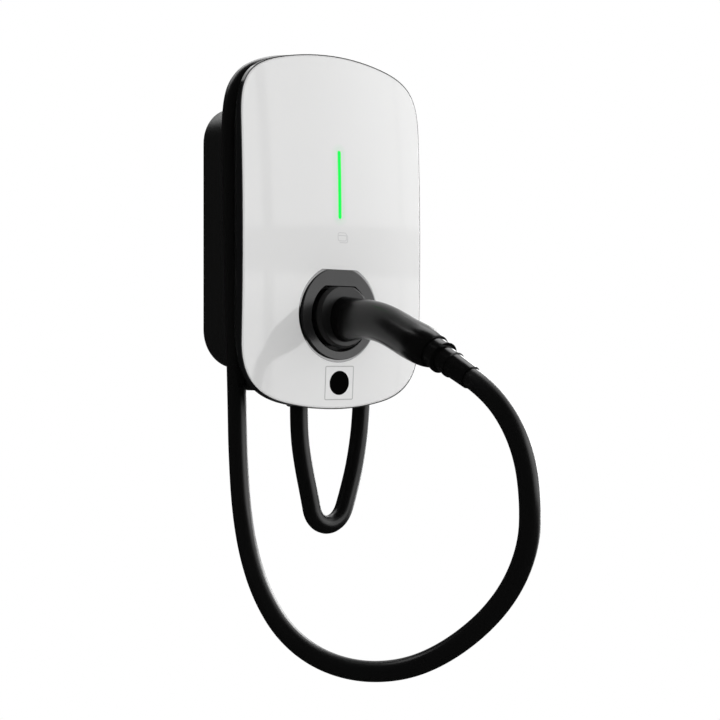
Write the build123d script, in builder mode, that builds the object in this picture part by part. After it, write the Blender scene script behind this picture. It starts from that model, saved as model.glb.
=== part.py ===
"""Wall-mounted car charger with a tethered cable.

Millimetres, +Z up. The origin lies on the wall, at the centre of the wall
bracket. The front faces -Y, so most sizes below are distances from the wall.
"""
import os
from math import cos, radians, sin, sqrt, tan

from build123d import *

os.makedirs("parts", exist_ok=True)

# Overall form
depth = 116.0               # wall to the crown of the front cover
cover_width = 200.6
cover_height = 319.8
edge_arch = 20.5            # rise of the top and bottom edges over the full width
corner_reach = 48.0         # how far a corner's curve runs along each edge
corner_fullness = 0.783     # of the top corners: 0.55 would be round, 1 would be square
low_fullness = 0.70         # of the bottom corners
crown_radius_tall = 2190.0  # front curvature seen from the side
crown_radius_wide = 794.0   # front curvature seen from above
crown_centre_z = -8.0

# Front cover and the housing that frames it
cover_wall = 3.0
cover_lip = 0.6             # width of the housing's rim round the cover
lip_setback = 0.8           # the rim lies this far behind the cover's surface
cover_fit = 0.2             # gap between the cover's edge and the rim
ledge_width = 5.0           # ledge that the cover rests on
shell_wall = 3.0
front_back = 66.0           # back face of the front housing
rim_depth = 16.0            # depth of the straight rim, up to the crown
rim_start = depth - rim_depth   # where the tapered side meets the straight rim
side_inset = 18.5           # how much narrower the front housing is at its back
side_bulge = 0.42           # share of that inset which is left halfway
cover_edge_radius = 1.5

# Neck that the cable is wound round
neck_width = 116.0
neck_top = 150.7
neck_bottom = -143.7
neck_arch = 18.0
neck_corner = 9.0
window_width = 84.0         # window that joins the three housings
window_top = 100.0
window_bottom = -113.0
window_corner = 10.0

# Rear housing
rear_depth = 46.5
rear_width = 146.4
rear_height = 247.0
rear_corner = 36.0
bracket_recess = 8.0        # hollow at the back that takes the wall bracket

# Wall bracket
bracket_width = 104.0
bracket_height = 190.0
bracket_sheet = 2.0
bracket_corner = 6.0
bracket_hole_radius = 14.0  # round cut-out in the middle of the sheet
wall_hole_radius = 3.25
wall_hole_spacing_x = 70.0
wall_hole_spacing_z = 160.0
hook_width = 22.0
hook_spacing = 60.0
hook_z = 70.0
hook_rise = 12.0
hook_play = 0.5
hook_drop = 4.0             # how far the slot lets the hook slide down
seat_gap = 0.3              # gap between pieces that seat on each other

# Gaskets and fasteners
gasket_width = 2.5
gasket_depth = 2.0
gasket_offset = 2.0
screw_radius = 2.0
screw_head_radius = 3.5
screw_head_height = 2.4
screw_grip = 7.0            # length of thread in the boss
screw_boss_radius = 4.2
screw_clearance = 0.2
thread_end = 1.0            # gap between a screw's end and the end of its thread
housing_screw_x = 50.5
rear_screw_rows = (-85.0, 0.0, 85.0)
front_screw_rows = (-60.0, 30.0, 92.0)

# Holster
holster_z = -73.7
ring_radius = 42.0
ring_flat = 39.6            # centre to the flat at the top
ring_corner = 4.0
ring_front = depth + 0.5
ring_thickness = 4.5
ring_back = ring_front - ring_thickness
ring_play = 0.1
ring_edge = 0.5
bezel_width = 2.2
socket_z = -76.2            # centre of the opening and of the connector
socket_radius = 31.8
socket_flat = 27.1
socket_corner = 3.0
cup_wall = 2.5
cup_back = ring_back - 52.0
cup_plate_width = 112.0
cup_plate_height = 80.0
cup_plate_corner = 6.0
cup_plate_front = depth - 15.0
cup_plate_thickness = 3.0
cup_screw_x = 50.0
cup_screw_z = 32.0
cup_recess = 8.0            # wide mouth of the cup, behind the ring
cup_floor = 3.0
cup_flange_thickness = 2.5
nose_play = 0.5

# Light bar and reader
light_width = 3.6
light_length = 62.0
light_z = 42.9
light_fit = 0.2
light_back = depth - 17.0
led_board_back = depth - 20.0
led_size = 2.0
led_height = 1.0
led_count = 12
board_thickness = 1.6
board_corner = 2.5
post_radius = 3.0
small_screw_radius = 1.2
small_head_radius = 2.3
small_head_height = 1.6
board_screw_length = 5.0
led_screw_length = 7.0
reader_width = 54.0
reader_height = 24.0
reader_z = -14.0
reader_back = depth - 12.0
reader_post_x = 22.0
led_board_width = 16.0
led_post_z = 39.0
light_flange = 2.0
snap_gap = 0.6
snap_thickness = 2.0
snap_width = 8.0
snap_spacing = 70.0
snap_reach = 3.0
snap_nib = 1.4
snap_nib_gap = 0.3
thread_play = 0.05

# Boards and modules inside
control_width = 132.0
control_height = 126.0
control_z = 37.0
control_back = front_back + 7.0
# Modules on the control board: x, z, width, height and thickness
control_module_places = (
    (-34, 12, 34, 34, 3.5),
    (26, 4, 30, 22, 3),
    (40, 70, 36, 22, 9),
    (-38, 74, 20, 44, 11),
    (0, 93, 26, 9, 8),
)
board_post_inset = 6.0
power_width = 112.0
power_height = 150.0
power_z = 25.0
power_back = 15.0
relay_width = 22.0
relay_depth = 17.0
relay_height = 29.0
relay_count = 4
relay_spacing = 25.0
relay_z = 8.0
relay_corner = 1.0
power_module_z = 66.0       # height of the power supply and of the energy meter
power_module_size = 44.0
power_module_corner = 2.0
power_supply_x = -26.0
power_supply_thickness = 19.0
meter_x = 27.0
meter_thickness = 17.0
meter_display_width = 30.0
meter_display_height = 14.0
meter_display_rise = 2.0
sensor_z = -40.0
sensor_width = 34.0
sensor_thickness = 26.0
sensor_height = 13.0
sensor_bore = 9.0
sensor_corner = 4.0
terminal_pitch = 16.0
terminal_count = 5
terminal_height = 22.0
terminal_depth = 27.0
terminal_z = -82.0
terminal_slope = 5.0
terminal_screw_radius = 3.0
terminal_screw_depth = 6.0
terminal_wire_radius = 3.4
terminal_wire_depth = 8.0
terminal_wire_back = 10.0   # distance of the wire holes from the block's back

# Glands
gland_back = 52.0           # distance of the charging cable's gland from the wall
gland_boss_radius = 13.8
gland_boss_top = -124.5
gland_thread_radius = 8.8
gland_bore_radius = 7.5
gland_hex = 12.8
gland_body_height = 5.0
gland_nut_height = 9.8
gland_nut_radius = 12.3
gland_nut_edge = 2.5
gland_seal_radius = 12.0
gland_seal_thickness = 1.0
locknut_height = 4.0
locknut_radius = 10.6
thread_overrun = 2.0        # length of thread that shows beyond a locknut
supply_x = 20.0
supply_back = 28.0
supply_bore_radius = 9.0
supply_thread_radius = 12.0
supply_hex = 16.0
supply_head_height = 6.0
supply_nut_radius = 14.5
supply_nut_height = 11.0
supply_nut_edge = 3.0
supply_locknut_radius = 15.0

# Connector
flange_radius = 27.3        # at the front of the flange, which slopes outwards to its back
flange_back_radius = 29.4
flange_flat = 26.2
flange_corner = 2.5
flange_front = depth + 8.0
flange_thickness = 4.0
flange_edge = 0.4
flange_hole_radius = 10.0
nose_radius = 26.0
nose_flat = 24.8
nose_corner = 2.5
nose_wall = 2.4
nose_end_gap = 0.3
insert_setback = 6.0
handle_wall = 3.2
contact_radius = 3.1
contact_bore = 2.0
contact_length = 34.0
contact_floor = 8.0         # solid part at the back of a contact
contact_play = 0.1
contact_places = ((0, 0), (-13.5, 0), (13.5, 0), (-8, -13.5), (8, -13.5), (-7, 13), (7, 13))
# Handle sections: distance in front of the crown, z, tilt in degrees, half width and half height
handle_stations = (
    (8.0, -79.0, 0.0, 17.0, 20.6),
    (18.0, -79.0, 0.0, 16.8, 19.4),
    (34.0, -79.4, 3.0, 16.8, 17.9),
    (51.0, -81.5, 10.5, 17.0, 17.4),
    (69.0, -86.0, 17.5, 17.0, 17.1),
    (90.2, -94.1, 20.0, 17.0, 17.0),
    (108.0, -100.8, 20.5, 17.2, 17.2),
    (121.0, -105.4, 23.0, 16.6, 16.6),
    (131.6, -109.2, 25.5, 14.5, 14.5),
)
handle_end_edge = 0.8
handle_mouth = 10.2
handle_mouth_length = 24.0
boot_start = (131.1, -109.0)        # distance in front of the crown and z of the handle's end
boot_tilt = 25.5            # how far the boot points down, in degrees
# The boot's outline from its plug to its tip: distance along its axis, and radius
boot_profile = (
    (-12.0, 10.0),
    (0.0, 10.0),
    (0.0, 13.0),
    (9.4, 12.9),
    (9.8, 13.9),
    (12.1, 13.9),
    (12.5, 11.1),
    (23.3, 10.8),
    (23.6, 11.5),
    (26.0, 11.5),
    (26.4, 10.5),
    (49.3, 9.9),
    (49.8, 9.4),
)
boot_length = boot_profile[-1][0]

# Charging cable: x, distance from the wall and z along its middle, from the gland to the boot
cable_radius = 8.75
cable_route = (
    (0, 52, -159.5),
    (0, 52, -184),
    (3.8, 53.2, -214),
    (10.3, 54.6, -245),
    (14.3, 55.2, -266.3),
    (31.6, 55.6, -275),
    (49, 55.8, -266.3),
    (54, 56, -245.5),
    (62.8, 56, -213),
    (69.8, 56, -170),
    (73.4, 56, -95),
    (76.8, 56, 30),
    (79.4, 56, 116),
    (67.2, 56, 144.4),
    (40, 56, 157.6),
    (1, 56, 162),
    (-38, 56, 157.6),
    (-67.2, 56, 144.4),
    (-79.8, 56, 117),
    (-77.6, 56, 45),
    (-74.4, 56, -70),
    (-71.9, 56, -158),
    (-73.4, 59.5, -198),
    (-77.3, 71, -249.5),
    (-81.8, 90.5, -289.5),
    (-85.4, 118, -322.3),
    (-83, 148.5, -349.6),
    (-70.3, 178.5, -368.2),
    (-50.4, 209.5, -376.3),
    (-28, 241, -372.2),
    (-10, 271.3, -355.8),
    (6.6, 301.3, -328.4),
    (15, 325.4, -297),
    (16.2, 342.5, -260.8),
    (10.6, 349.5, -225),
    (7.5, 346.3, -191.4),
    (4, 333, -162.5),
)
cable_last_run = 22.0

window_height = window_top - window_bottom
window_z = (window_top + window_bottom) / 2
arch_radius = (cover_width**2 / 4 + edge_arch**2) / (2 * edge_arch)


def corner_places(spacing_x, spacing_z, z):
    """The four corners of a rectangle round a height."""
    return [(x * spacing_x / 2, z + y * spacing_z / 2) for x in (-1, 1) for y in (-1, 1)]


control_post_places = corner_places(
    control_width - 2 * board_post_inset, control_height - 2 * board_post_inset, control_z
)
power_post_places = corner_places(
    power_width - 2 * board_post_inset, power_height - 2 * board_post_inset, power_z
)
cup_screw_places = corner_places(2 * cup_screw_x, 2 * cup_screw_z, holster_z)


def from_wall(distance):
    """Plane parallel to the wall at a distance from it, facing the front."""
    return Plane.XZ.offset(distance)


def face_outline(inset):
    """Outline of the cover, moved inwards by an inset."""
    half_width = cover_width / 2 - inset
    half_height = cover_height / 2 - inset
    radius = arch_radius - inset
    shoulder = half_width - corner_reach
    shoulder_z = half_height - radius + sqrt(radius**2 - shoulder**2)
    slope = shoulder / sqrt(radius**2 - shoulder**2)
    corner_z = shoulder_z - slope * corner_reach
    side_z = corner_z - corner_reach
    top_x = shoulder + corner_fullness * corner_reach
    top_z = shoulder_z - corner_fullness * slope * corner_reach
    top_side_z = side_z + corner_fullness * corner_reach
    low_x = shoulder + low_fullness * corner_reach
    low_z = shoulder_z - low_fullness * slope * corner_reach
    low_side_z = side_z + low_fullness * corner_reach
    with BuildSketch() as sketch:
        with BuildLine():
            ThreePointArc((-shoulder, shoulder_z), (0, half_height), (shoulder, shoulder_z))
            Bezier((shoulder, shoulder_z), (top_x, top_z), (half_width, top_side_z), (half_width, side_z))
            Line((half_width, side_z), (half_width, -side_z))
            Bezier((half_width, -side_z), (half_width, -low_side_z), (low_x, -low_z), (shoulder, -shoulder_z))
            ThreePointArc((shoulder, -shoulder_z), (0, -half_height), (-shoulder, -shoulder_z))
            Bezier((-shoulder, -shoulder_z), (-low_x, -low_z), (-half_width, -low_side_z), (-half_width, -side_z))
            Line((-half_width, -side_z), (-half_width, side_z))
            Bezier((-half_width, side_z), (-half_width, top_side_z), (-top_x, top_z), (-shoulder, shoulder_z))
        make_face()
    return sketch.sketch


def neck_outline(inset):
    """Outline of the neck: arched top, flat bottom."""
    half_width = neck_width / 2 - inset
    top = neck_top - inset
    bottom = neck_bottom + inset
    shoulder = top - neck_arch
    with BuildSketch() as sketch:
        with BuildLine():
            ThreePointArc((-half_width, shoulder), (0, top), (half_width, shoulder))
            Polyline((half_width, shoulder), (half_width, bottom), (-half_width, bottom), (-half_width, shoulder))
        make_face()
        fillet(sketch.vertices().group_by(Axis.Y)[-1], neck_corner)
        fillet(sketch.vertices().group_by(Axis.Y)[0], shell_wall + 1 - inset)
    return sketch.sketch


def rear_outline(inset):
    """Rounded rectangle of the rear housing."""
    with BuildSketch() as sketch:
        RectangleRounded(rear_width - 2 * inset, rear_height - 2 * inset, rear_corner - inset)
    return sketch.sketch


def window(grow):
    """Window between the housings, made larger all round by a margin."""
    with BuildSketch() as sketch:
        with Locations((0, window_z)):
            RectangleRounded(window_width + 2 * grow, window_height + 2 * grow, window_corner + grow)
    return sketch.sketch


def flat_disc(centre_z, radius, flat, corner):
    """Disc with a flat across its top: the outline of ring, opening and connector."""
    with BuildSketch() as sketch:
        with Locations((0, centre_z)):
            Circle(radius)
        with Locations((0, centre_z + flat)):
            Rectangle(2 * radius, radius, align=(Align.CENTER, Align.MIN), mode=Mode.SUBTRACT)
        fillet(sketch.vertices().group_by(Axis.Y)[-1], corner)
    return sketch.sketch


def ring_outline(grow_round, grow_flat):
    """The holster ring's outline, made larger round it and at its flat."""
    return flat_disc(holster_z, ring_radius + grow_round, ring_flat + grow_flat, ring_corner)


def socket_outline(grow):
    """The holster's opening, made larger all round."""
    return flat_disc(socket_z, socket_radius + grow, socket_flat + grow, socket_corner + grow)


def nose_outline(grow):
    """The connector's nose, made larger all round."""
    return flat_disc(socket_z, nose_radius + grow, nose_flat + grow, nose_corner)


def crown_block(setback):
    """Everything behind the crowned front surface, which is set back by a distance."""
    swing = 15
    reach = cover_height
    hinge_y = crown_radius_wide - depth
    radius = crown_radius_tall - setback
    front = crown_radius_wide - setback
    edge = front - radius + sqrt(radius**2 - reach**2)
    start = Vector(-sin(radians(swing)), -cos(radians(swing)), 0)
    profile_plane = Plane(
        origin=(0, hinge_y, crown_centre_z), x_dir=start, z_dir=start.cross(Vector(0, 0, 1))
    )
    with BuildPart() as block:
        with BuildSketch(profile_plane):
            with BuildLine():
                ThreePointArc((edge, -reach), (front, 0), (edge, reach))
                Polyline((edge, reach), (hinge_y, reach), (hinge_y, -reach), (edge, -reach))
            make_face()
        revolve(axis=Axis((0, hinge_y, 0), (0, 0, 1)), revolution_arc=2 * swing)
    return block.part


def tapered_body(wall, back):
    """The front housing's tapered form, smaller all round by a wall, from its back to the rim."""
    halfway = (front_back + rim_start) / 2
    with BuildPart() as body:
        with BuildSketch(from_wall(back)):
            add(face_outline(side_inset + wall))
        with BuildSketch(from_wall(halfway)):
            add(face_outline(side_inset * side_bulge + wall))
        with BuildSketch(from_wall(rim_start)):
            add(face_outline(wall - cover_lip))
        loft()
    return body.part


def cover_pocket():
    """Space that the cover takes in the housing's rim."""
    with BuildPart() as pocket:
        with BuildSketch(from_wall(rim_start)):
            add(face_outline(0))
        extrude(amount=depth - rim_start)
        add(crown_block(cover_wall), mode=Mode.SUBTRACT)
    return pocket.part


def cover_fixings():
    """Snap hooks and screw posts moulded to the back of the cover."""
    hook_x = cover_width / 2 - ledge_width - snap_gap - snap_thickness / 2
    with BuildPart() as fixings:
        with BuildSketch(from_wall(rim_start - snap_reach)):
            with GridLocations(2 * hook_x, snap_spacing, 2, 3):
                Rectangle(snap_thickness, snap_width)
        extrude(amount=depth - rim_start + snap_reach)
        with BuildSketch(from_wall(led_board_back + board_thickness)):
            with Locations((0, light_z - led_post_z), (0, light_z + led_post_z)):
                Circle(post_radius)
                Circle(small_screw_radius, mode=Mode.SUBTRACT)
        extrude(amount=depth - led_board_back - board_thickness)
        with BuildSketch(from_wall(reader_back + board_thickness)):
            with Locations((-reader_post_x, reader_z), (reader_post_x, reader_z)):
                Circle(post_radius)
                Circle(small_screw_radius, mode=Mode.SUBTRACT)
        extrude(amount=depth - reader_back - board_thickness)
        add(crown_block(cover_wall / 2), mode=Mode.INTERSECT)
        with BuildSketch(from_wall(rim_start - snap_reach)):
            with GridLocations(2 * (hook_x + snap_nib / 2), snap_spacing, 2, 3):
                Rectangle(snap_thickness + snap_nib, snap_width)
        extrude(amount=snap_reach - snap_nib_gap)
    return fixings.part


def screw_group(places, seat, length, radius, head_radius, head_height, facing=1):
    """Screws whose heads rest at a distance from the wall and face the front, or the wall with -1."""
    with BuildPart() as group:
        with BuildSketch(from_wall(seat)):
            with Locations(*places):
                Circle(head_radius)
        extrude(amount=facing * head_height)
        with BuildSketch(from_wall(seat)):
            with Locations(*places):
                Circle(radius - thread_play)
        extrude(amount=-facing * length)
        with BuildSketch(from_wall(seat + facing * head_height)):
            with Locations(*places):
                RegularPolygon(0.5 * head_radius, 6)
        extrude(amount=-facing * head_height / 2, mode=Mode.SUBTRACT)
    return group


def handle_body(wall, stations):
    """The curved handle through its sections, smaller all round by a wall."""
    with BuildPart() as body:
        for reach, z, tilt, half_width, half_height in stations:
            lean = radians(tilt)
            middle = (0, -depth - reach, z)
            section = Plane(origin=middle, x_dir=(1, 0, 0), z_dir=(0, -cos(lean), -sin(lean)))
            with BuildSketch(section):
                Ellipse(half_width - wall, half_height - wall)
        loft()
    return body.part


def screw_places(rows):
    """Places of a pair of screws in each row."""
    return [(side * housing_screw_x, row) for row in rows for side in (-1, 1)]


def finish(piece, label):
    """Name a finished piece and write it."""
    piece.part.label = label
    export_step(piece.part, f"parts/{label}.step")


# Wall bracket: a steel sheet with two hooks that turn up behind the housing's back wall
back_wall_front = bracket_recess + shell_wall
hook_front = back_wall_front + seat_gap + bracket_sheet
hook_places = ((-hook_spacing / 2, hook_z), (hook_spacing / 2, hook_z))
with BuildPart() as wall_bracket:
    with BuildSketch(from_wall(0)):
        RectangleRounded(bracket_width, bracket_height, bracket_corner)
        with GridLocations(wall_hole_spacing_x, wall_hole_spacing_z, 2, 2):
            Circle(wall_hole_radius, mode=Mode.SUBTRACT)
        Circle(bracket_hole_radius, mode=Mode.SUBTRACT)
    extrude(amount=bracket_sheet)
    with BuildSketch(from_wall(bracket_sheet)):
        with Locations(*hook_places):
            Rectangle(hook_width, bracket_sheet, align=(Align.CENTER, Align.MAX))
    extrude(amount=hook_front - bracket_sheet)
    with BuildSketch(from_wall(hook_front)):
        with Locations(*hook_places):
            Rectangle(hook_width, hook_rise, align=(Align.CENTER, Align.MIN))
    extrude(amount=-bracket_sheet)
finish(wall_bracket, "wall_bracket")

# Rear housing: a tub with its open side to the neck and a hollow for the bracket
with BuildPart() as rear_housing:
    with BuildSketch(from_wall(0)):
        add(rear_outline(0))
    extrude(amount=rear_depth)
    with BuildSketch(from_wall(0)):
        add(rear_outline(shell_wall))
    extrude(amount=bracket_recess, mode=Mode.SUBTRACT)
    with BuildSketch(from_wall(back_wall_front)):
        add(rear_outline(shell_wall))
    extrude(amount=rear_depth - shell_wall - back_wall_front, mode=Mode.SUBTRACT)
    with BuildSketch(from_wall(rear_depth - shell_wall)):
        add(window(0))
    extrude(amount=shell_wall, mode=Mode.SUBTRACT)
    with BuildSketch(from_wall(rear_depth - shell_wall)):
        with Locations(*screw_places(rear_screw_rows)):
            Circle(screw_boss_radius)
    extrude(amount=-screw_grip)
    with BuildSketch(from_wall(rear_depth)):
        with Locations(*screw_places(rear_screw_rows)):
            Circle(screw_radius)
    extrude(amount=-screw_grip - shell_wall, mode=Mode.SUBTRACT)
    with BuildSketch(from_wall(bracket_recess)):
        with Locations(*hook_places):
            with Locations((0, seat_gap)):
                Rectangle(hook_width + 2 * hook_play, hook_rise + hook_drop, align=(Align.CENTER, Align.MAX))
    extrude(amount=shell_wall, mode=Mode.SUBTRACT)
    with BuildSketch(from_wall(back_wall_front)):
        with Locations(*power_post_places):
            Circle(post_radius)
            Circle(small_screw_radius, mode=Mode.SUBTRACT)
    extrude(amount=power_back - back_wall_front)
    with BuildSketch(Plane.XY.offset(-rear_height / 2)):
        with Locations((supply_x, -supply_back)):
            Circle(supply_thread_radius + screw_clearance)
    extrude(amount=shell_wall, mode=Mode.SUBTRACT)
finish(rear_housing, "rear_housing")

# Neck: a hollow drum with windows to both housings and a boss for the gland
with BuildPart() as neck:
    with BuildSketch(from_wall(rear_depth)):
        add(neck_outline(0))
    extrude(amount=front_back - rear_depth)
    with BuildSketch(Plane.XY.offset(neck_bottom)):
        with Locations((0, -gland_back)):
            Circle(gland_boss_radius)
    extrude(amount=gland_boss_top - neck_bottom)
    with BuildSketch(from_wall(rear_depth + shell_wall)):
        add(neck_outline(shell_wall))
    extrude(amount=front_back - rear_depth - 2 * shell_wall, mode=Mode.SUBTRACT)
    with BuildSketch(Plane.XY.offset(neck_bottom + shell_wall)):
        with Locations((0, -gland_back)):
            Circle(gland_boss_radius - 2.4)
    extrude(amount=gland_boss_top - neck_bottom - 2 * shell_wall, mode=Mode.SUBTRACT)
    with BuildSketch(Plane.XY.offset(neck_bottom)):
        with Locations((0, -gland_back)):
            Circle(gland_thread_radius + screw_clearance)
    extrude(amount=shell_wall, mode=Mode.SUBTRACT)
    with BuildSketch(from_wall(rear_depth)):
        add(window(0))
    extrude(amount=front_back - rear_depth, mode=Mode.SUBTRACT)
    with BuildSketch(from_wall(rear_depth)):
        add(window(gasket_offset + gasket_width))
        add(window(gasket_offset), mode=Mode.SUBTRACT)
    extrude(amount=gasket_depth, mode=Mode.SUBTRACT)
    with BuildSketch(from_wall(front_back - shell_wall)):
        with Locations(*screw_places(front_screw_rows)):
            Circle(screw_boss_radius)
    extrude(amount=-screw_grip)
    with BuildSketch(from_wall(front_back)):
        with Locations(*screw_places(front_screw_rows)):
            Circle(screw_radius)
    extrude(amount=-screw_grip - shell_wall, mode=Mode.SUBTRACT)
    with BuildSketch(from_wall(rear_depth)):
        with Locations(*screw_places(rear_screw_rows)):
            Circle(screw_radius + screw_clearance)
    extrude(amount=shell_wall, mode=Mode.SUBTRACT)
finish(neck, "neck")

# Gaskets in the grooves of the neck and of the front housing
with BuildPart() as rear_gasket:
    with BuildSketch(from_wall(rear_depth)):
        add(window(gasket_offset + gasket_width))
        add(window(gasket_offset), mode=Mode.SUBTRACT)
    extrude(amount=gasket_depth)
finish(rear_gasket, "rear_gasket")

with BuildPart() as front_gasket:
    with BuildSketch(from_wall(front_back)):
        add(window(gasket_offset + gasket_width))
        add(window(gasket_offset), mode=Mode.SUBTRACT)
    extrude(amount=gasket_depth)
finish(front_gasket, "front_gasket")

# Front housing: a tapered shell that ends in a thin rim round the cover
cup_plate_back = cup_plate_front - cup_plate_thickness
with BuildPart() as front_housing:
    add(tapered_body(0, front_back))
    with BuildSketch(from_wall(rim_start)):
        add(face_outline(-cover_lip))
    extrude(amount=depth - rim_start)
    add(crown_block(lip_setback), mode=Mode.INTERSECT)
    add(tapered_body(shell_wall, front_back + shell_wall), mode=Mode.SUBTRACT)
    with BuildSketch(from_wall(rim_start)):
        add(face_outline(ledge_width))
    extrude(amount=depth - rim_start, mode=Mode.SUBTRACT)
    add(cover_pocket(), mode=Mode.SUBTRACT)
    with BuildSketch(from_wall(front_back)):
        add(window(0))
    extrude(amount=shell_wall, mode=Mode.SUBTRACT)
    with BuildSketch(from_wall(front_back)):
        add(window(gasket_offset + gasket_width))
        add(window(gasket_offset), mode=Mode.SUBTRACT)
    extrude(amount=gasket_depth, mode=Mode.SUBTRACT)
    with BuildSketch(from_wall(front_back)):
        with Locations(*screw_places(front_screw_rows)):
            Circle(screw_radius + screw_clearance)
    extrude(amount=shell_wall, mode=Mode.SUBTRACT)
    with BuildSketch(from_wall(front_back + shell_wall)):
        with Locations(*control_post_places):
            Circle(post_radius)
            Circle(small_screw_radius, mode=Mode.SUBTRACT)
    extrude(amount=control_back - front_back - shell_wall)
    with BuildSketch(from_wall(front_back + shell_wall)):
        with Locations(*cup_screw_places):
            Circle(screw_boss_radius)
            Circle(screw_radius, mode=Mode.SUBTRACT)
    extrude(amount=cup_plate_back - front_back - shell_wall)
finish(front_housing, "front_housing")

# Front cover: a crowned panel with openings for the holster and the light bar
with BuildPart() as front_cover:
    with BuildSketch(from_wall(rim_start)):
        add(face_outline(cover_fit))
    extrude(amount=depth - rim_start)
    add(crown_block(0), mode=Mode.INTERSECT)
    add(crown_block(cover_wall), mode=Mode.SUBTRACT)
    fillet(front_cover.faces().sort_by(Axis.Y)[0].outer_wire().edges(), cover_edge_radius)
    add(cover_fixings())
    with BuildSketch(from_wall(rim_start)):
        add(ring_outline(bezel_width + cover_fit, cover_fit))
        with Locations((0, light_z)):
            SlotOverall(light_length + 2 * light_fit, light_width + 2 * light_fit, rotation=90)
    extrude(amount=depth - rim_start, mode=Mode.SUBTRACT)
finish(front_cover, "front_cover")

# Holster: a cup with a wide mouth, its front ring, and a glossy bezel that ends at the ring's flat
with BuildPart() as holster_ring:
    with BuildSketch(from_wall(ring_back)):
        add(ring_outline(0, 0))
        add(socket_outline(0), mode=Mode.SUBTRACT)
    extrude(amount=ring_thickness)
    chamfer(holster_ring.faces().sort_by(Axis.Y)[0].edges(), ring_edge)
finish(holster_ring, "holster_ring")

with BuildPart() as holster_bezel:
    with BuildSketch(from_wall(ring_back)):
        add(ring_outline(bezel_width, 0))
        add(ring_outline(ring_play, ring_play), mode=Mode.SUBTRACT)
    extrude(amount=depth - ring_back)
    add(crown_block(0), mode=Mode.INTERSECT)
finish(holster_bezel, "holster_bezel")

with BuildPart() as holster_cup:
    with BuildSketch(from_wall(cup_back)):
        add(nose_outline(nose_play + cup_wall))
    extrude(amount=ring_back - cup_back)
    with BuildSketch(from_wall(ring_back - cup_recess - cup_flange_thickness)):
        add(socket_outline(cup_wall))
    extrude(amount=cup_recess + cup_flange_thickness)
    with BuildSketch(from_wall(ring_back)):
        add(ring_outline(bezel_width, 0))
    extrude(amount=-cup_flange_thickness)
    with BuildSketch(from_wall(cup_plate_front)):
        with Locations((0, holster_z)):
            RectangleRounded(cup_plate_width, cup_plate_height, cup_plate_corner)
        with Locations(*cup_screw_places):
            Circle(screw_radius + screw_clearance, mode=Mode.SUBTRACT)
    extrude(amount=-cup_plate_thickness)
    with BuildSketch(from_wall(cup_back + cup_floor)):
        add(nose_outline(nose_play))
    extrude(amount=ring_back - cup_back - cup_floor, mode=Mode.SUBTRACT)
    with BuildSketch(from_wall(ring_back - cup_recess)):
        add(socket_outline(0))
    extrude(amount=cup_recess, mode=Mode.SUBTRACT)
finish(holster_cup, "holster_cup")

# Light bar with its board, and the card reader's board
with BuildPart() as light_guide:
    with BuildSketch(from_wall(light_back)):
        with Locations((0, light_z)):
            SlotOverall(light_length, light_width, rotation=90)
    extrude(amount=depth - light_back)
    add(crown_block(0), mode=Mode.INTERSECT)
    with BuildSketch(from_wall(light_back)):
        with Locations((0, light_z)):
            Rectangle(light_width + 2 * light_flange, light_length + 2 * light_flange)
    extrude(amount=light_flange)
finish(light_guide, "light_guide")

with BuildPart() as led_board:
    with BuildSketch(from_wall(led_board_back)):
        with Locations((0, light_z)):
            RectangleRounded(led_board_width, 2 * (led_post_z + post_radius), board_corner)
            with GridLocations(0, 2 * led_post_z, 1, 2):
                Circle(small_screw_radius + screw_clearance, mode=Mode.SUBTRACT)
    extrude(amount=board_thickness)
finish(led_board, "led_board")

with BuildPart() as leds:
    with BuildSketch(from_wall(led_board_back + board_thickness)):
        with Locations((0, light_z)):
            with GridLocations(0, light_length / led_count, 1, led_count):
                Rectangle(led_size, led_size)
    extrude(amount=led_height)
finish(leds, "leds")

with BuildPart() as reader_board:
    with BuildSketch(from_wall(reader_back)):
        with Locations((0, reader_z)):
            RectangleRounded(reader_width, reader_height, board_corner)
            with GridLocations(2 * reader_post_x, 0, 2, 1):
                Circle(small_screw_radius + screw_clearance, mode=Mode.SUBTRACT)
    extrude(amount=board_thickness)
finish(reader_board, "reader_board")

# Control board in the front housing
with BuildPart() as control_board:
    with BuildSketch(from_wall(control_back)):
        with Locations((0, control_z)):
            RectangleRounded(control_width, control_height, board_corner)
        with Locations(*control_post_places):
            Circle(small_screw_radius + screw_clearance, mode=Mode.SUBTRACT)
    extrude(amount=board_thickness)
finish(control_board, "control_board")

with BuildPart() as control_modules:
    for x, z, width, height, thickness in control_module_places:
        with BuildSketch(from_wall(control_back + board_thickness)):
            with Locations((x, z)):
                Rectangle(width, height)
        extrude(amount=thickness)
finish(control_modules, "control_modules")

# Power board and what it carries in the rear housing
power_front = power_back + board_thickness
with BuildPart() as power_board:
    with BuildSketch(from_wall(power_back)):
        with Locations((0, power_z)):
            RectangleRounded(power_width, power_height, board_corner)
        with Locations(*power_post_places):
            Circle(small_screw_radius + screw_clearance, mode=Mode.SUBTRACT)
    extrude(amount=board_thickness)
finish(power_board, "power_board")

with BuildPart() as relays:
    with BuildSketch(from_wall(power_front)):
        with Locations((0, relay_z)):
            with GridLocations(relay_spacing, 0, relay_count, 1):
                Rectangle(relay_width, relay_height)
    extrude(amount=relay_depth)
    fillet(relays.edges().filter_by(Axis.Y), relay_corner)
finish(relays, "relays")

with BuildPart() as power_supply:
    with BuildSketch(from_wall(power_front)):
        with Locations((power_supply_x, power_module_z)):
            RectangleRounded(power_module_size, power_module_size, power_module_corner)
    extrude(amount=power_supply_thickness)
finish(power_supply, "power_supply")

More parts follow.
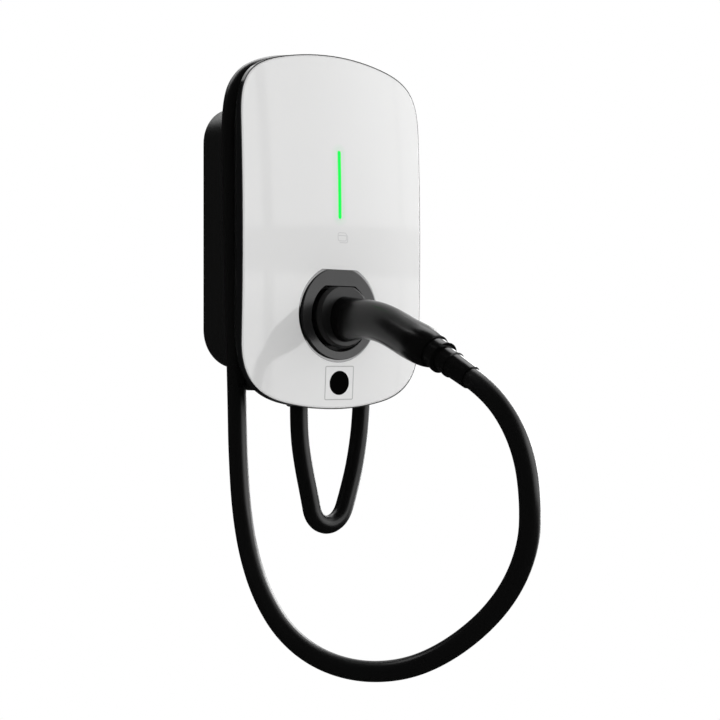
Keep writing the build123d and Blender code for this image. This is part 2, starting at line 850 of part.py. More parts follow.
with BuildPart() as energy_meter:
    with BuildSketch(from_wall(power_front)):
        with Locations((meter_x, power_module_z)):
            RectangleRounded(power_module_size, power_module_size, power_module_corner)
    extrude(amount=meter_thickness)
    with BuildSketch(from_wall(power_front + meter_thickness)):
        with Locations((meter_x, power_module_z)):
            Rectangle(meter_display_width, meter_display_height)
    extrude(amount=meter_display_rise)
finish(energy_meter, "energy_meter")

with BuildPart() as fault_current_sensor:
    with BuildSketch(Plane.XY.offset(sensor_z)):
        with Locations((0, -power_front - sensor_thickness / 2)):
            RectangleRounded(sensor_width, sensor_thickness, sensor_corner)
            Circle(sensor_bore, mode=Mode.SUBTRACT)
    extrude(amount=sensor_height)
finish(fault_current_sensor, "fault_current_sensor")

with BuildPart() as terminal_block:
    with BuildSketch(from_wall(back_wall_front)):
        with Locations((0, terminal_z)):
            Rectangle(terminal_pitch * terminal_count, terminal_height)
    extrude(amount=terminal_depth)
    chamfer(terminal_block.faces().sort_by(Axis.Y)[0].edges().filter_by(Axis.X), terminal_slope)
    with BuildSketch(from_wall(back_wall_front + terminal_depth)):
        with Locations((0, terminal_z)):
            with GridLocations(terminal_pitch, 0, terminal_count, 1):
                Circle(terminal_screw_radius)
    extrude(amount=-terminal_screw_depth, mode=Mode.SUBTRACT)
    with BuildSketch(Plane.XY.offset(terminal_z - terminal_height / 2)):
        with Locations((0, -back_wall_front - terminal_wire_back)):
            with GridLocations(terminal_pitch, 0, terminal_count, 1):
                Circle(terminal_wire_radius)
    extrude(amount=terminal_wire_depth, mode=Mode.SUBTRACT)
finish(terminal_block, "terminal_block")

# Screws, each kind one group
housing_screw = (screw_radius, screw_head_radius, screw_head_height)
board_screw = (small_screw_radius, small_head_radius, small_head_height)
housing_screw_length = shell_wall + screw_grip - thread_end
rear_screws = screw_group(
    screw_places(rear_screw_rows), rear_depth + shell_wall, housing_screw_length, *housing_screw
)
finish(rear_screws, "rear_screws")
front_screws = screw_group(
    screw_places(front_screw_rows), front_back + shell_wall, housing_screw_length, *housing_screw
)
finish(front_screws, "front_screws")
cup_screws = screw_group(cup_screw_places, cup_plate_front, housing_screw_length, *housing_screw)
finish(cup_screws, "cup_screws")
control_screws = screw_group(
    control_post_places, control_back + board_thickness, board_screw_length, *board_screw
)
finish(control_screws, "control_screws")
power_screws = screw_group(power_post_places, power_front, board_screw_length, *board_screw)
finish(power_screws, "power_screws")
led_screw_places = [(0, light_z - led_post_z), (0, light_z + led_post_z)]
led_screws = screw_group(led_screw_places, led_board_back, led_screw_length, *board_screw, facing=-1)
finish(led_screws, "led_screws")
reader_screw_places = [(-reader_post_x, reader_z), (reader_post_x, reader_z)]
reader_screws = screw_group(reader_screw_places, reader_back, board_screw_length, *board_screw, facing=-1)
finish(reader_screws, "reader_screws")

# Gland of the charging cable, under the neck
gland_top = neck_bottom - gland_seal_thickness
gland_nut_top = gland_top - gland_body_height
gland_place = (0, -gland_back)
with BuildPart() as gland_seal:
    with BuildSketch(Plane.XY.offset(gland_top)):
        with Locations(gland_place):
            Circle(gland_seal_radius)
            Circle(gland_thread_radius + screw_clearance, mode=Mode.SUBTRACT)
    extrude(amount=gland_seal_thickness)
finish(gland_seal, "gland_seal")

with BuildPart() as gland_body:
    with BuildSketch(Plane.XY.offset(gland_nut_top)):
        with Locations(gland_place):
            RegularPolygon(gland_hex, 6)
    extrude(amount=gland_body_height)
    with BuildSketch(Plane.XY.offset(gland_top)):
        with Locations(gland_place):
            Circle(gland_thread_radius)
    extrude(amount=gland_seal_thickness + shell_wall + locknut_height + thread_overrun)
    with BuildSketch(Plane.XY.offset(gland_nut_top)):
        with Locations(gland_place):
            Circle(gland_bore_radius)
    extrude(amount=2 * (gland_body_height + shell_wall + locknut_height), mode=Mode.SUBTRACT)
finish(gland_body, "gland_body")

with BuildPart() as gland_locknut:
    with BuildSketch(Plane.XY.offset(neck_bottom + shell_wall)):
        with Locations(gland_place):
            RegularPolygon(locknut_radius, 6)
            Circle(gland_thread_radius + thread_play, mode=Mode.SUBTRACT)
    extrude(amount=locknut_height)
finish(gland_locknut, "gland_locknut")

with BuildPart() as gland_nut:
    with BuildSketch(Plane.XY.offset(gland_nut_top)):
        with Locations(gland_place):
            Circle(gland_nut_radius)
    extrude(amount=-gland_nut_height)
    fillet(gland_nut.faces().sort_by(Axis.Z)[0].edges(), gland_nut_edge)
    with BuildSketch(Plane.XY.offset(gland_nut_top)):
        with Locations(gland_place):
            Circle(gland_bore_radius)
    extrude(amount=-gland_nut_height, mode=Mode.SUBTRACT)
finish(gland_nut, "gland_nut")

# Supply gland, under the rear housing
supply_top = -rear_height / 2
supply_place = (supply_x, -supply_back)
with BuildPart() as supply_gland:
    with BuildSketch(Plane.XY.offset(supply_top)):
        with Locations(supply_place):
            RegularPolygon(supply_hex, 6)
    extrude(amount=-supply_head_height)
    with BuildSketch(Plane.XY.offset(supply_top)):
        with Locations(supply_place):
            Circle(supply_thread_radius)
    extrude(amount=shell_wall + locknut_height + thread_overrun)
    with BuildSketch(Plane.XY.offset(supply_top - supply_head_height)):
        with Locations(supply_place):
            Circle(supply_nut_radius)
    extrude(amount=-supply_nut_height)
    fillet(supply_gland.faces().sort_by(Axis.Z)[0].edges(), supply_nut_edge)
    with BuildSketch(Plane.XY.offset(supply_top)):
        with Locations(supply_place):
            Circle(supply_bore_radius)
    extrude(amount=supply_head_height + supply_nut_height, both=True, mode=Mode.SUBTRACT)
finish(supply_gland, "supply_gland")

with BuildPart() as supply_locknut:
    with BuildSketch(Plane.XY.offset(supply_top + shell_wall)):
        with Locations(supply_place):
            RegularPolygon(supply_locknut_radius, 6)
            Circle(supply_thread_radius + thread_play, mode=Mode.SUBTRACT)
    extrude(amount=locknut_height)
finish(supply_locknut, "supply_locknut")

# Connector, parked in the holster: nose and flange in one moulding
flange_back = flange_front - flange_thickness
nose_end = cup_back + cup_floor + nose_end_gap
with BuildPart() as connector_nose:
    with BuildSketch(from_wall(nose_end)):
        add(nose_outline(0))
        add(nose_outline(-nose_wall), mode=Mode.SUBTRACT)
    extrude(amount=flange_back - nose_end)
    with BuildSketch(from_wall(flange_back)):
        add(flat_disc(socket_z, flange_back_radius, flange_flat, flange_corner))
    with BuildSketch(from_wall(flange_front)):
        add(flat_disc(socket_z, flange_radius, flange_flat, flange_corner))
    loft()
    chamfer(connector_nose.faces().sort_by(Axis.Y)[0].edges(), flange_edge)
    with BuildSketch(from_wall(flange_back)):
        with Locations((0, socket_z)):
            Circle(flange_hole_radius)
    extrude(amount=flange_thickness, mode=Mode.SUBTRACT)
finish(connector_nose, "connector_nose")

insert_back = nose_end + insert_setback
with BuildPart() as connector_insert:
    with BuildSketch(from_wall(insert_back)):
        add(nose_outline(-nose_wall - contact_play))
        with Locations((0, socket_z)):
            with Locations(*contact_places):
                Circle(contact_radius + contact_play, mode=Mode.SUBTRACT)
    extrude(amount=flange_back - insert_back)
finish(connector_insert, "connector_insert")

with BuildPart() as contacts:
    with BuildSketch(from_wall(flange_back - contact_length)):
        with Locations((0, socket_z)):
            with Locations(*contact_places):
                Circle(contact_radius)
    extrude(amount=contact_length)
    with BuildSketch(from_wall(flange_back - contact_length)):
        with Locations((0, socket_z)):
            with Locations(*contact_places):
                Circle(contact_bore)
    extrude(amount=contact_length - contact_floor, mode=Mode.SUBTRACT)
finish(contacts, "contacts")

boot_origin = Vector(0, -depth - boot_start[0], boot_start[1])
boot_direction = Vector(0, -cos(radians(boot_tilt)), -sin(radians(boot_tilt)))
boot_plane = Plane(origin=boot_origin, x_dir=boot_direction, z_dir=(1, 0, 0))
with BuildPart() as connector_handle:
    add(handle_body(0, handle_stations))
    split(bisect_by=Plane(origin=boot_origin, z_dir=boot_direction), keep=Keep.BOTTOM)
    fillet(connector_handle.faces().sort_by(Axis.Y)[0].edges(), handle_end_edge)
    add(handle_body(handle_wall, handle_stations[:-1]), mode=Mode.SUBTRACT)
    with BuildSketch(Plane(origin=boot_origin, z_dir=boot_direction)):
        Circle(handle_mouth)
    extrude(amount=-handle_mouth_length, mode=Mode.SUBTRACT)
finish(connector_handle, "connector_handle")

with BuildPart() as boot:
    with BuildSketch(boot_plane):
        with BuildLine():
            Polyline((boot_profile[0][0], 0), *boot_profile, (boot_length, 0), close=True)
        make_face()
    revolve(axis=Axis(boot_origin, boot_direction))
finish(boot, "boot")

# Charging cable: straight runs joined by tangent arcs
boot_end = boot_origin + boot_direction * boot_length
cable_points = [Vector(x, -distance, z) for x, distance, z in cable_route]
cable_points += [boot_end + boot_direction * cable_last_run, boot_end]
cable_radii = []
for before, point, after in zip(cable_points, cable_points[1:], cable_points[2:]):
    turn = (point - before).get_angle(after - point)
    run = min((point - before).length, (after - point).length)
    cable_radii.append(0.45 * run / tan(radians(turn / 2)))
print("cable radii", [round(radius, 1) for radius in cable_radii])
with BuildPart() as charging_cable:
    with BuildLine() as cable_path:
        FilletPolyline(*cable_points, radius=cable_radii)
    with BuildSketch(Plane(origin=cable_points[0], z_dir=cable_points[1] - cable_points[0])):
        Circle(cable_radius)
    sweep()
cable_length = cable_path.wire().length
section = 3.14159265 * cable_radius**2
print("cable length", round(cable_length, 1))
print("cable volume over section times length", round(charging_cable.part.volume / section / cable_length, 5))
finish(charging_cable, "charging_cable")
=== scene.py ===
"""Looks of the wall-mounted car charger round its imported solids.
"""
from math import cos, pi, radians, sin, sqrt

import bpy
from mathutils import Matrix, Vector


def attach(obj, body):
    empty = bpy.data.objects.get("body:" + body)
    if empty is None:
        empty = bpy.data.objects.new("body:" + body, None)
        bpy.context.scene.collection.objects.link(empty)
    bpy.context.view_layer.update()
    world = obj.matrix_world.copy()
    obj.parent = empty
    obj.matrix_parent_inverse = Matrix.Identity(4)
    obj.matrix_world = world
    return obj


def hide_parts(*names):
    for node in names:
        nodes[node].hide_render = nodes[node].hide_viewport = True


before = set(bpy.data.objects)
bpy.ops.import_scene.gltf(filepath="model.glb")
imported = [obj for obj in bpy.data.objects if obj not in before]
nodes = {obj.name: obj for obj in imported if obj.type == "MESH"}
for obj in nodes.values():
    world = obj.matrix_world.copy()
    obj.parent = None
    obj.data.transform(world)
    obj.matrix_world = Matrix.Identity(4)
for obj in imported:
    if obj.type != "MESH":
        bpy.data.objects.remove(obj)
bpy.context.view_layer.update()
scene = bpy.context.scene
scene.view_settings.view_transform = "Standard"

# A millimetre in metres, and a metre in millimetres
MM = 0.001
METRE = 1000.0

# Camera at the photograph's angle: focal length and middle of the lens in the photo's pixels
photo_width = 720
photo_focus = 1441.3
photo_middle = (357.72, 362.37)
sensor_width = 36
view_turn = 37.723
camera_data = bpy.data.cameras.new("camera")
camera_data.sensor_width = sensor_width
camera_data.lens = sensor_width * photo_focus / photo_width
camera_data.shift_x = (photo_width / 2 - photo_middle[0]) / photo_width
camera_data.shift_y = (photo_middle[1] - photo_width / 2) / photo_width
camera_data.clip_end = 100
camera = bpy.data.objects.new("camera", camera_data)
camera.location = (-0.78645, -1.1588, -0.11794)
camera.rotation_euler = (radians(90), 0, radians(-view_turn))
scene.collection.objects.link(camera)
scene.camera = camera


# Materials
def grey(level):
    """A colour without hue."""
    return (level,) * 3


def scaled(colour, factor):
    """A colour times a factor."""
    return tuple(part * factor for part in colour)


# Where most of a noise lies, a grain's depth as a share of its size, and a Mix node's colours
noise_range = (0.3, 0.7)
grain_depth = 0.25
mix_colours = slice(6, 8)
mix_result = 2


class Surface:
    """A procedural material round one principled shader, with helpers that add its nodes."""

    def __init__(self, name):
        self.material = bpy.data.materials.new(name)
        self.material.use_nodes = True
        self.tree = self.material.node_tree
        self.shader = self.tree.nodes["Principled BSDF"]
        self.place = self.add("TexCoord").outputs["Object"]

    def add(self, kind, **values):
        """Add a node and set its properties."""
        node = self.tree.nodes.new("ShaderNode" + kind)
        for key, value in values.items():
            setattr(node, key, value)
        return node

    def link(self, source, target):
        """Link an output to an input."""
        self.tree.links.new(source, target)

    def drive(self, source, name):
        """Link an output to one of the shader's inputs."""
        self.link(source, self.shader.inputs[name])

    def noise(self, scale, detail):
        """Noise over the object's own space."""
        node = self.add("TexNoise")
        node.inputs["Scale"].default_value = scale
        node.inputs["Detail"].default_value = detail
        self.link(self.place, node.inputs["Vector"])
        return node.outputs["Fac"]

    def spread(self, value, low, high, source_range=noise_range):
        """Map a value from its own range to another, held at the ends."""
        node = self.add("MapRange")
        node.inputs["From Min"].default_value, node.inputs["From Max"].default_value = source_range
        node.inputs["To Min"].default_value = low
        node.inputs["To Max"].default_value = high
        self.link(value, node.inputs["Value"])
        return node.outputs["Result"]

    def calculate(self, operation, *values):
        """A maths node on one or two values, each a socket or a number."""
        node = self.add("Math", operation=operation)
        for socket, value in zip(node.inputs, values):
            if isinstance(value, (int, float)):
                socket.default_value = value
            else:
                self.link(value, socket)
        return node.outputs["Value"]

    def blend(self, factor, first, second):
        """Blend two colours, each a socket or a tuple, by a factor."""
        node = self.add("Mix", data_type="RGBA")
        self.link(factor, node.inputs["Factor"])
        for socket, colour in zip(node.inputs[mix_colours], (first, second)):
            if isinstance(colour, tuple):
                socket.default_value = (*colour, 1)
            else:
                self.link(colour, socket)
        return node.outputs[mix_result]

    def grain(self, strength, size):
        """Fine moulded grain, as bump; its size is in millimetres."""
        bump = self.add("Bump")
        bump.inputs["Strength"].default_value = strength
        bump.inputs["Distance"].default_value = size * MM * grain_depth
        self.link(self.noise(scale=METRE / size, detail=2.0), bump.inputs["Height"])
        self.drive(bump.outputs["Normal"], "Normal")

    def finish(self, specular=0.5, metallic=0.0):
        """Set the values that are the same all over, and hand over the material."""
        self.shader.inputs["Specular IOR Level"].default_value = specular
        self.shader.inputs["Metallic"].default_value = metallic
        return self.material


def moulded(name, colour, roughness, grain=0.0, grain_size=0.4, variation=0.03, mottle=0.0,
            **finish):
    """Moulded, painted or metal surface: slow variation of gloss and of tone, and fine grain."""
    surface = Surface(name)
    slow = surface.noise(scale=28, detail=4.0)
    surface.drive(surface.spread(slow, roughness - variation, roughness + variation), "Roughness")
    dark, light = scaled(colour, 1 - mottle), scaled(colour, 1 + mottle)
    surface.drive(surface.blend(surface.spread(slow, 0, 1), dark, light), "Base Color")
    if grain:
        surface.grain(grain, grain_size)
    return surface.finish(**finish)


# Light bar in the front cover, and its glow in the cover round it, painted as a green tint into the
# cover's colour
light_z = 42.9
light_half_length = 31.0
light_half_width = 1.8
light_edge = (light_half_width - 0.25, light_half_width + 0.1)
light_green_lit = (0.004, 1.0, 0.085)
light_green_body = (0.002, 0.2, 0.02)
light_ripple = 0.93
# Painted glow: how far the green tint reaches from the light bar, its greatest share and its colour
painted_glow_reach = (light_half_width, 9.0)
painted_glow_share = 0.35
painted_glow_colour = (0.45, 0.8, 0.54)
white = (0.79, 0.79, 0.786)
white_dimmed = 0.99
white_roughness = (0.05, 0.07)


def distance_from_light(surface):
    """Distance from the middle line of the light bar, in millimetres, over the front."""
    split = surface.add("SeparateXYZ")
    surface.link(surface.place, split.inputs["Vector"])
    height = surface.calculate("SUBTRACT", split.outputs["Z"], light_z * MM)
    beyond = surface.calculate("SUBTRACT", surface.calculate("ABSOLUTE", height),
                               (light_half_length - light_half_width) * MM)
    across = surface.add("CombineXYZ")
    surface.link(split.outputs["X"], across.inputs["X"])
    surface.link(surface.calculate("MAXIMUM", beyond, 0.0), across.inputs["Z"])
    length = surface.add("VectorMath", operation="LENGTH")
    surface.link(across.outputs["Vector"], length.inputs[0])
    return surface.calculate("MULTIPLY", length.outputs["Value"], METRE)


def cover_material():
    """Glossy white moulding; the light bar's glow at its edge is painted as a green tint into its
    colour.
    """
    surface = Surface("cover_white")
    slow = surface.noise(scale=16, detail=3.0)
    surface.drive(surface.spread(slow, *white_roughness), "Roughness")
    tone = surface.blend(surface.spread(slow, 0, 1), scaled(white, white_dimmed), white)
    # Painted glow: the cover's colour turns green towards the light bar
    near = surface.spread(distance_from_light(surface), 1.0, 0.0, painted_glow_reach)
    painted_glow_tone = surface.blend(surface.calculate("MULTIPLY", near, painted_glow_share), tone, painted_glow_colour)
    surface.drive(painted_glow_tone, "Base Color")
    return surface.finish(specular=1.0)


def light_material():
    """Green light bar with round ends, lit from behind."""
    surface = Surface("light_green")
    inside = surface.spread(distance_from_light(surface), 1.0, 0.0, light_edge)
    surface.drive(surface.blend(inside, white, light_green_body), "Base Color")
    ripple = surface.spread(surface.noise(scale=120, detail=2.0), light_ripple, 1.0)
    surface.drive(surface.calculate("MULTIPLY", inside, ripple), "Emission Strength")
    surface.shader.inputs["Emission Color"].default_value = (*light_green_lit, 1)
    surface.shader.inputs["Roughness"].default_value = 0.2
    return surface.finish(specular=0.1)


cover_white = cover_material()
light_green = light_material()
housing_black = moulded("housing_black", (0.004, 0.004, 0.0042), 0.09, grain=0.02, grain_size=0.6,
                        variation=0.01, specular=0.3)
rear_black = moulded("rear_black", grey(0.005), 0.24, grain=0.12, grain_size=0.5)
cup_black = moulded("cup_black", grey(0.006), 0.5, grain=0.2)
ring_grey = moulded("ring_grey", grey(0.014), 0.2, grain=0.08, grain_size=0.3, specular=0.7)
bezel_grey = moulded("bezel_grey", grey(0.24), 0.1, variation=0.01, metallic=1.0)
handle_black = moulded("handle_black", grey(0.002), 0.2, grain=0.03, variation=0.02, specular=0.4)
boot_black = moulded("boot_black", grey(0.002), 0.16, grain=0.03, variation=0.02)
nose_black = moulded("nose_black", grey(0.008), 0.34, grain=0.1)
cable_black = moulded("cable_black", grey(0.003), 0.3, grain=0.04, grain_size=0.6)
gland_black = moulded("gland_black", grey(0.005), 0.26, grain=0.1)
gasket_rubber = moulded("gasket_rubber", grey(0.02), 0.7, grain=0.3)
steel = moulded("zinc_steel", (0.55, 0.56, 0.58), 0.35, grain=0.1, mottle=0.06, metallic=1.0)
contact_metal = moulded("contact_metal", (0.75, 0.72, 0.65), 0.25, mottle=0.04, metallic=1.0)
board_green = moulded("board_green", (0.01, 0.12, 0.05), 0.4, mottle=0.1)
module_black = moulded("module_black", grey(0.02), 0.5, grain=0.2)
module_grey = moulded("module_grey", (0.42, 0.43, 0.44), 0.5, grain=0.2)
led_clear = moulded("led_clear", (0.8, 0.8, 0.6), 0.2)
print_grey = moulded("print_grey", grey(0.46), 0.25, mottle=0.02)
print_faint = moulded("print_faint", grey(0.62), 0.2, mottle=0.02)
print_black = moulded("print_black", grey(0.002), 0.8, mottle=0.1, specular=0.0)

node_materials = {
    "front_cover": cover_white,
    "front_housing": housing_black,
    "neck": rear_black,
    "rear_housing": rear_black,
    "wall_bracket": steel,
    "front_gasket": gasket_rubber,
    "rear_gasket": gasket_rubber,
    "gland_seal": gasket_rubber,
    "holster_ring": ring_grey,
    "holster_bezel": bezel_grey,
    "holster_cup": cup_black,
    "light_guide": light_green,
    "led_board": board_green,
    "leds": led_clear,
    "reader_board": board_green,
    "control_board": board_green,
    "control_modules": module_black,
    "power_board": board_green,
    "relays": module_black,
    "power_supply": module_black,
    "energy_meter": module_grey,
    "fault_current_sensor": module_black,
    "terminal_block": module_grey,
    "gland_body": gland_black,
    "gland_nut": gland_black,
    "gland_locknut": gland_black,
    "supply_gland": gland_black,
    "supply_locknut": gland_black,
    "connector_handle": handle_black,
    "connector_nose": nose_black,
    "connector_insert": nose_black,
    "contacts": contact_metal,
    "boot": boot_black,
}
for name, node in nodes.items():
    chosen = node_materials.get(name, steel if name.endswith("screws") else cable_black)
    for slot in node.material_slots:
        slot.material = chosen

# Charging cable: x, distance from the wall and z of its route, from the gland to the boot
cable_radius = 8.75
cable_route = (
    (0, 52, -159.5),
    (0, 52, -184),
    (3.8, 53.2, -214),
    (10.3, 54.6, -245),
    (14.3, 55.2, -266.3),
    (30.4, 55.6, -274.4),
    (46.8, 55.8, -266.3),
    (54.4, 56, -245.5),
    (64.4, 56, -213),
    (71.2, 56, -170),
    (73.4, 56, -95),
    (76.8, 56, 30),
    (79.4, 56, 116),
    (67.2, 56, 144.4),
    (40, 56, 157.6),
    (1, 56, 162),
    (-38, 56, 156.6),
    (-66.2, 56, 143.4),
    (-79, 56, 116.5),
    (-77.6, 56, 45),
    (-74.4, 56, -70),
    (-71.9, 56, -158),
    (-73.4, 59.5, -198),
    (-77.3, 71, -249.5),
    (-81.8, 90.5, -289.5),
    (-85.4, 118, -322.3),
    (-83, 148.5, -349.6),
    (-70.3, 178.5, -368.2),
    (-50.4, 209.5, -376.3),
    (-28, 241, -372.2),
    (-10, 271.3, -355.8),
    (6.6, 301.3, -328.4),
    (15, 325.4, -297),
    (16.2, 342.5, -260.8),
    (10.6, 349.5, -225),
    (7.5, 346.3, -191.4),
    (4, 333, -162.5),
)
cable_last_run = 22.0

# Boot: distance from the wall and z where it starts, its tilt in degrees and its length
boot_start = (247.1, -109.0)
boot_tilt = 25.5
boot_length = 49.8


def along_boot(start, run):
    """Go on from a point, given as distance from the wall and z, along the boot's middle line."""
    return start[0] + run * cos(radians(boot_tilt)), start[1] - run * sin(radians(boot_tilt))


boot_end = along_boot(boot_start, boot_length)
last_bend = along_boot(boot_end, cable_last_run)
route = [*cable_route, (0, *last_bend), (0, *boot_end)]
curve = bpy.data.curves.new("cable", "CURVE")
curve.dimensions = "3D"
spline = curve.splines.new("NURBS")
spline.points.add(len(route) - 1)
for point, (x, distance, z) in zip(spline.points, route):
    point.co = (x * MM, -distance * MM, z * MM, 1)
spline.order_u = 3
spline.use_endpoint_u = True
curve.resolution_u = 16
curve.bevel_depth = cable_radius * MM
curve.bevel_resolution = 10
curve.use_fill_caps = True
cable = bpy.data.objects.new("cable", curve)
scene.collection.objects.link(cable)
curve.materials.append(cable_black)
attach(cable, "root")
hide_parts("charging_cable")

# Prints on the front cover, whose crown is an arc swept along an arc
cover_depth = 116.0
crown_radius_tall = 2190.0
crown_radius_wide = 794.0
crown_centre_z = -8.0
print_rise = 0.05
print_sink = 0.3
corner_steps = 8
side_steps = 12


def on_cover(x, z, rise):
    """The point on the crowned cover at x and z, raised a little, in metres."""
    reach = sqrt(crown_radius_tall**2 - (z - crown_centre_z)**2)
    radius = crown_radius_wide - crown_radius_tall + reach
    y = crown_radius_wide - cover_depth - sqrt(radius**2 - x**2)
    return Vector((x, y - rise, z)) * MM


def circle(centre, radius, steps):
    """Points round a circle."""
    return [(centre[0] + radius * cos(2 * pi * step / steps),
             centre[1] + radius * sin(2 * pi * step / steps)) for step in range(steps)]


def between(start, end):
    """Points on a straight side, without its ends."""
    return [(start[0] + (end[0] - start[0]) * step / side_steps,
             start[1] + (end[1] - start[1]) * step / side_steps) for step in range(1, side_steps)]


def rounded_loop(centre, size, radius):
    """Points round a rounded rectangle, from its right side over the top."""
    points = []
    for quarter in range(4):
        sign_x = 1 if quarter in (0, 3) else -1
        sign_z = 1 if quarter in (0, 1) else -1
        middle = (centre[0] + sign_x * (size[0] / 2 - radius),
                  centre[1] + sign_z * (size[1] / 2 - radius))
        turns = [quarter * pi / 2 + step * pi / 2 / corner_steps
                 for step in range(corner_steps + 1)]
        corner = [(middle[0] + radius * cos(turn), middle[1] + radius * sin(turn))
                  for turn in turns]
        if points:
            points += between(points[-1], corner[0])
        points += corner
    return points + between(points[-1], points[0])


def outline(centre, size, radius, line):
    """The two loops of a rounded rectangle drawn with a line."""
    inner_size = (size[0] - 2 * line, size[1] - 2 * line)
    return [rounded_loop(centre, size, radius), rounded_loop(centre, inner_size, radius - line)]


def inlay(name, loops, material, filled=False, whole=True):
    """A thin closed print on the cover between loops of points, the outer one first.

    With filled, the inner loop is closed too. Without whole, the loops are open lines.
    """
    count = len(loops[0])
    layer = count * len(loops)
    steps = range(count if whole else count - 1)
    vertices = [on_cover(x, z, rise) for rise in (print_rise, -print_sink)
                for loop in loops for x, z in loop]
    faces = []
    for ring in range(len(loops) - 1):
        for step in steps:
            a = ring * count + step
            b = ring * count + (step + 1) % count
            faces.append((a, b, b + count, a + count))
            faces.append((a + layer, a + layer + count, b + layer + count, b + layer))
    for ring, order in ((0, 1), (len(loops) - 1, -1)):
        if ring and filled:
            inner = [ring * count + step for step in range(count)]
            faces.append(tuple(inner))
            faces.append(tuple(step + layer for step in reversed(inner)))
            continue
        for step in steps:
            a = ring * count + step
            b = ring * count + (step + 1) % count
            faces.append((a, a + layer, b + layer, b)[::order])
    if not whole:
        for a, order in ((0, 1), (count - 1, -1)):
            faces.append((a, a + count, a + count + layer, a + layer)[::order])
    mesh = bpy.data.meshes.new(name)
    mesh.from_pydata(vertices, [], faces)
    mesh.materials.append(material)
    mesh.validate()
    piece = bpy.data.objects.new(name, mesh)
    scene.collection.objects.link(piece)
    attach(piece, "root")


# Label under the holster: a thin frame with a black disc
label_centre = (2.0, -136.6)
label_size = (32.4, 31.0)
label_corner = 1.6
label_line = 0.9
dot_radius = 11.0
dot_rings = (1.0, 0.85, 0.65, 0.4, 0.15)
dot_steps = 72
inlay("label_frame", outline(label_centre, label_size, label_corner, label_line),
      print_grey)
inlay("label_dot", [circle(label_centre, dot_radius * share, dot_steps) for share in dot_rings],
      print_black, filled=True)

# Sign of the card reader: a card with a stripe, and the edge of a second card behind it
card_centre = (2.5, -4.1)
card_size = (10.2, 8.0)
card_corner = 2.2
card_line = 0.7
inlay("reader_card", outline(card_centre, card_size, card_corner, card_line),
      print_faint)
behind_shift = (1.4, -1.6)
behind_centre = (card_centre[0] + behind_shift[0], card_centre[1] + behind_shift[1])
half_corner = corner_steps // 2
lower_left = 2 * (corner_steps + side_steps) + half_corner
inlay("reader_card_behind",
      [loop[lower_left:] + loop[:half_corner + 1]
       for loop in outline(behind_centre, card_size, card_corner, card_line)],
      print_faint, whole=False)
stripe_rise = 1.2
stripe_centre = (card_centre[0], card_centre[1] + stripe_rise)
stripe_size = (card_size[0] - 2 * card_line, 0.8)
stripe_corner = 0.3
stripe_core_size = (stripe_size[0] - 0.6, 0.3)
stripe_core_corner = 0.1
inlay("reader_stripe",
      [rounded_loop(stripe_centre, stripe_size, stripe_corner),
       rounded_loop(stripe_centre, stripe_core_size, stripe_core_corner)],
      print_faint, filled=True)

# Floor, far below the charger on its wall; mirrored, it is as dark as the world's dark side
mirrored_dark = 0.015
floor_height = -1.4
floor_radius = 3.4
floor_steps = 96
floor_own_light = 0.85
floor_mesh = bpy.data.meshes.new("floor")
floor_mesh.from_pydata([(x, y, floor_height) for x, y in circle((0, 0), floor_radius, floor_steps)],
                       [], [tuple(range(floor_steps))])
floor = bpy.data.objects.new("floor", floor_mesh)
scene.collection.objects.link(floor)
pale = Surface("floor_pale")
floor_patches = pale.spread(pale.noise(scale=3, detail=3.0), 0, 1)
pale.drive(pale.blend(floor_patches, grey(0.85), grey(0.87)), "Base Color")
pale.shader.inputs["Roughness"].default_value = 0.9
floor_paths = pale.add("LightPath").outputs
floor_glow = pale.add("Emission")
floor_mix = pale.add("MixShader")
floor_seen = pale.calculate("MULTIPLY", floor_paths["Is Camera Ray"], floor_own_light)
pale.link(pale.calculate("MAXIMUM", floor_seen, floor_paths["Is Glossy Ray"]),
          floor_mix.inputs["Fac"])
pale.link(pale.spread(floor_paths["Is Camera Ray"], mirrored_dark, 1.0, (0.0, 1.0)),
          floor_glow.inputs["Strength"])
pale.link(pale.shader.outputs["BSDF"], floor_mix.inputs[1])
pale.link(floor_glow.outputs["Emission"], floor_mix.inputs[2])
pale.link(floor_mix.outputs["Shader"], pale.tree.nodes["Material Output"].inputs["Surface"])
floor_mesh.materials.append(pale.finish())

# World: white where it is seen; mirrored, it is bright only to the right and upwards from there
ambient = 0.66
ambient_fall = -0.35
bright_side = (0.9, 0.1, 0.42)
bright_from, bright_full = 0.45, 0.8
world = bpy.data.worlds.new("world")
scene.world = world
world.use_nodes = True
tree = world.node_tree
background = tree.nodes["Background"]
background.inputs["Color"].default_value = (1, 1, 1, 1)


def world_node(kind, *sources, **values):
    """Add a node to the world, set its properties and its first inputs."""
    node = tree.nodes.new("ShaderNode" + kind)
    for key, value in values.items():
        setattr(node, key, value)
    for socket, source in zip(node.inputs, sources):
        if isinstance(source, (int, float, tuple)):
            socket.default_value = source
        else:
            tree.links.new(source, socket)
    return node


def world_maths(operation, *sources):
    """Add a maths node to the world."""
    return world_node("Math", *sources, operation=operation).outputs["Value"]


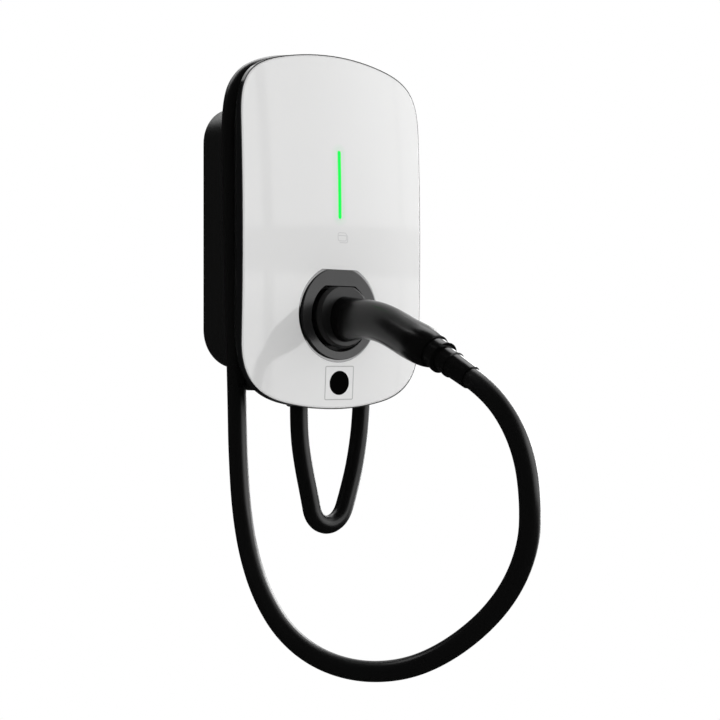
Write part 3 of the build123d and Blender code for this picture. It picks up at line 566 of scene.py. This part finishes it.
paths = world_node("LightPath").outputs
direction = world_node("TexCoord").outputs["Generated"]
towards = world_node("VectorMath", direction, bright_side, operation="DOT_PRODUCT")
mirrored = world_node("MapRange", towards.outputs["Value"], bright_from, bright_full,
                      mirrored_dark, 1.0, interpolation_type="SMOOTHSTEP").outputs["Result"]
seen = world_maths("MAXIMUM", paths["Is Camera Ray"], paths["Is Transmission Ray"])
in_gloss = world_maths("MULTIPLY", paths["Is Glossy Ray"], mirrored)
sideways = world_node("SeparateXYZ", direction).outputs["X"]
fill = world_maths("MULTIPLY_ADD", sideways, ambient_fall, ambient)
in_diffuse = world_maths("MULTIPLY", paths["Is Diffuse Ray"], fill)
level = world_maths("MAXIMUM", seen, world_maths("MAXIMUM", in_gloss, in_diffuse))
tree.links.new(level, background.inputs["Strength"])


# Lamps
def soft_box(name, place, target, size, radiance, shift=(0, 0, 0)):
    """Soft box that looks at a target, shifted along its own axes; mirrored, it shows radiance."""
    data = bpy.data.lights.new(name, "AREA")
    data.shape = "RECTANGLE"
    data.size, data.size_y = size
    data.energy = radiance * pi * size[0] * size[1]
    light = bpy.data.objects.new(name, data)
    turn = (Vector(target) - Vector(place)).to_track_quat("-Z", "Y")
    light.location = Vector(place) + turn @ Vector(shift)
    light.rotation_euler = turn.to_euler()
    scene.collection.objects.link(light)


# Large window in front to the right: a plain sheet of light, and bright panes with bars between
window = {"place": (1.22, -1.69, 0.16), "target": (0, -0.11, 0)}
soft_box("window_sheet", **window, size=(1.7, 1.5), radiance=0.95, shift=(-0.05, 0.03, 0))
pane_columns = ((-0.9, -0.62), (-0.54, 0.48), (0.5, 0.8))
pane_rows = ((-0.72, -0.12), (0.05, 0.78))
pane_depth = -0.03
for column, (left, right) in enumerate(pane_columns):
    for row, (low, high) in enumerate(pane_rows):
        soft_box(f"window_pane_{column}_{row}", **window, size=(right - left, high - low),
                 radiance=0.6, shift=((left + right) / 2, (low + high) / 2, pane_depth))

# Boxes on the right, above and behind, for the rims and the black edges
soft_box("rim_box", (1.35, 0.3, 0.1), (0, -0.1, -0.1), size=(0.9, 1.2), radiance=5.0)
soft_box("top_box", (0.5, 0.6, 1.5), (0, -0.1, 0), size=(1.4, 0.8), radiance=1.5)
soft_box("back_box", (-0.1, 0.97, 1.22), (0, 0, 0), size=(1.6, 0.8), radiance=1.8)
